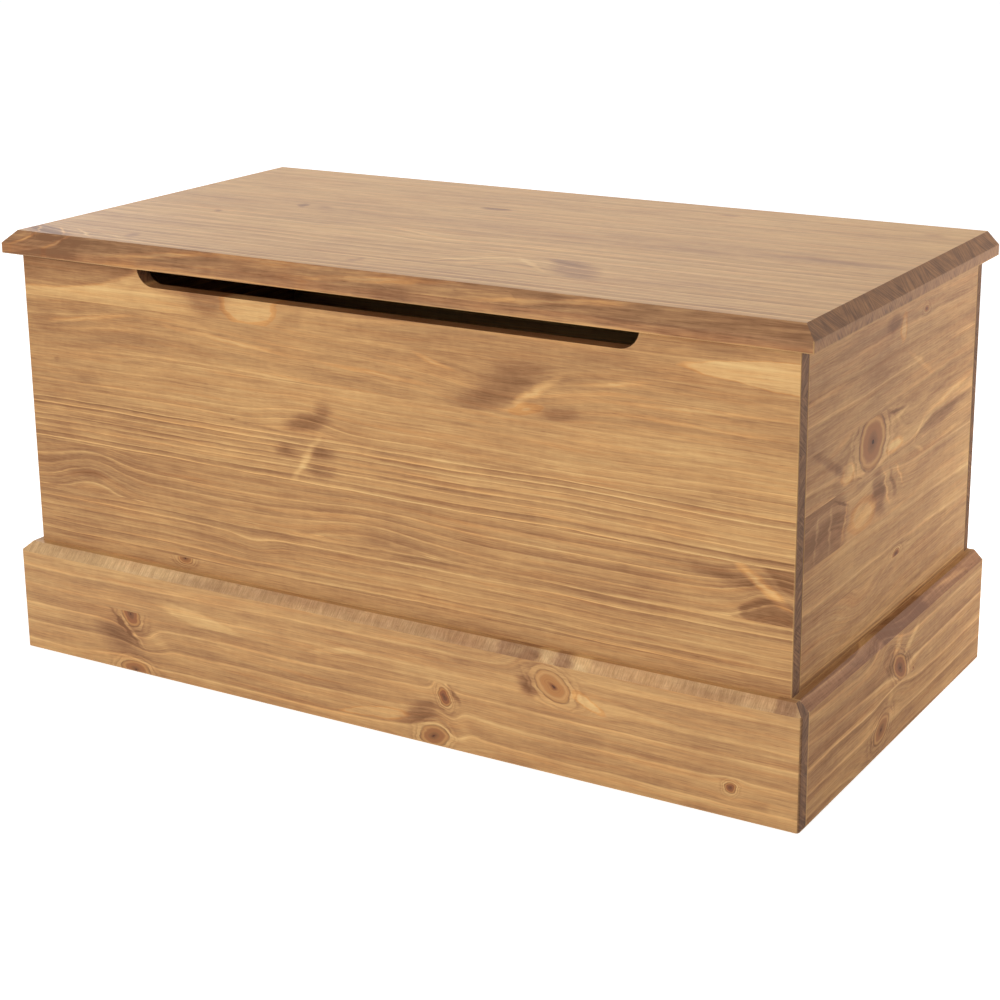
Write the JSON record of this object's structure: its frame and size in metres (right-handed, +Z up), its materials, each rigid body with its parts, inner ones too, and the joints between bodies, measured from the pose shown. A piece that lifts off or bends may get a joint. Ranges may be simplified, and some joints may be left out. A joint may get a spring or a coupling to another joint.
{
  "type": "storage trunk",
  "caption": "Low rectangular pine blanket box with a chamfered lift-up lid, a long finger slot in the front edge, a stepped plinth, butt hinges and a slotted lid stay.",
  "frame": {"origin": "on the floor under the middle of the box, midway from side to side and from the front of the plinth to the rear of the hinge knuckles", "axes": "+Z up, +X towards the right end as seen from the front, +Y towards the hinged rear"},
  "size_m": [0.86, 0.4564, 0.434],
  "materials": {
    "pine_waxed": "satin wax on stained pine",
    "pine_plain": "sanded, matt",
    "beech_dowels": "plain turned",
    "brass_fittings": "brassed, satin",
    "steel_screws": "zinc plated"
  },
  "bodies": {
    "carcass": {"front_panel": "pine_waxed", "back_panel": "pine_waxed", "base_panel": "pine_plain", "cleat_front": "pine_plain", "cleat_back": "pine_plain", "plinth_front": "pine_waxed", "side_panel_left": "pine_waxed", "cleat_left": "pine_plain", "plinth_left": "pine_waxed", "hinge_left_fixed_leaf": "brass_fittings", "hinge_left_pin": "brass_fittings", "side_panel_right": "pine_waxed", "cleat_right": "pine_plain", "plinth_right": "pine_waxed", "hinge_right_fixed_leaf": "brass_fittings", "hinge_right_pin": "brass_fittings", "stay_stud": "brass_fittings", "stay_side_plate": "brass_fittings", "corner_dowels": "beech_dowels", "back_screws": "steel_screws", "plinth_screws": "steel_screws", "hinge_screws_carcass": "steel_screws", "stay_plate_screws": "steel_screws"},
    "lid": {"lid_panel": "pine_waxed", "lid_batten_left": "pine_waxed", "lid_batten_right": "pine_waxed", "batten_screws": "steel_screws", "hinge_left_moving_leaf": "brass_fittings", "hinge_right_moving_leaf": "brass_fittings", "hinge_screws_lid": "steel_screws", "stay_lid_bracket": "brass_fittings", "stay_bracket_screws": "steel_screws", "stay_rivet": "brass_fittings"},
    "stay_arm": {"stay_arm": "brass_fittings"}
  },
  "joints": [
    {"name": "lid_hinge", "type": "hinge", "parent": "carcass", "child": "lid", "pos_m": [0, 0.2252, 0.412], "axis": [-1, 0, 0], "range_deg": [0, 95]},
    {"name": "stay_pivot", "type": "hinge", "parent": "lid", "child": "stay_arm", "pos_m": [0.3925, 0.06581, 0.399], "axis": [1, 0, 0], "range_deg": [0, 47.5]}
  ],
  "couplings": [
    {"joint": "stay_pivot", "follows": "lid_hinge", "ratio": 0.5}
  ]
}
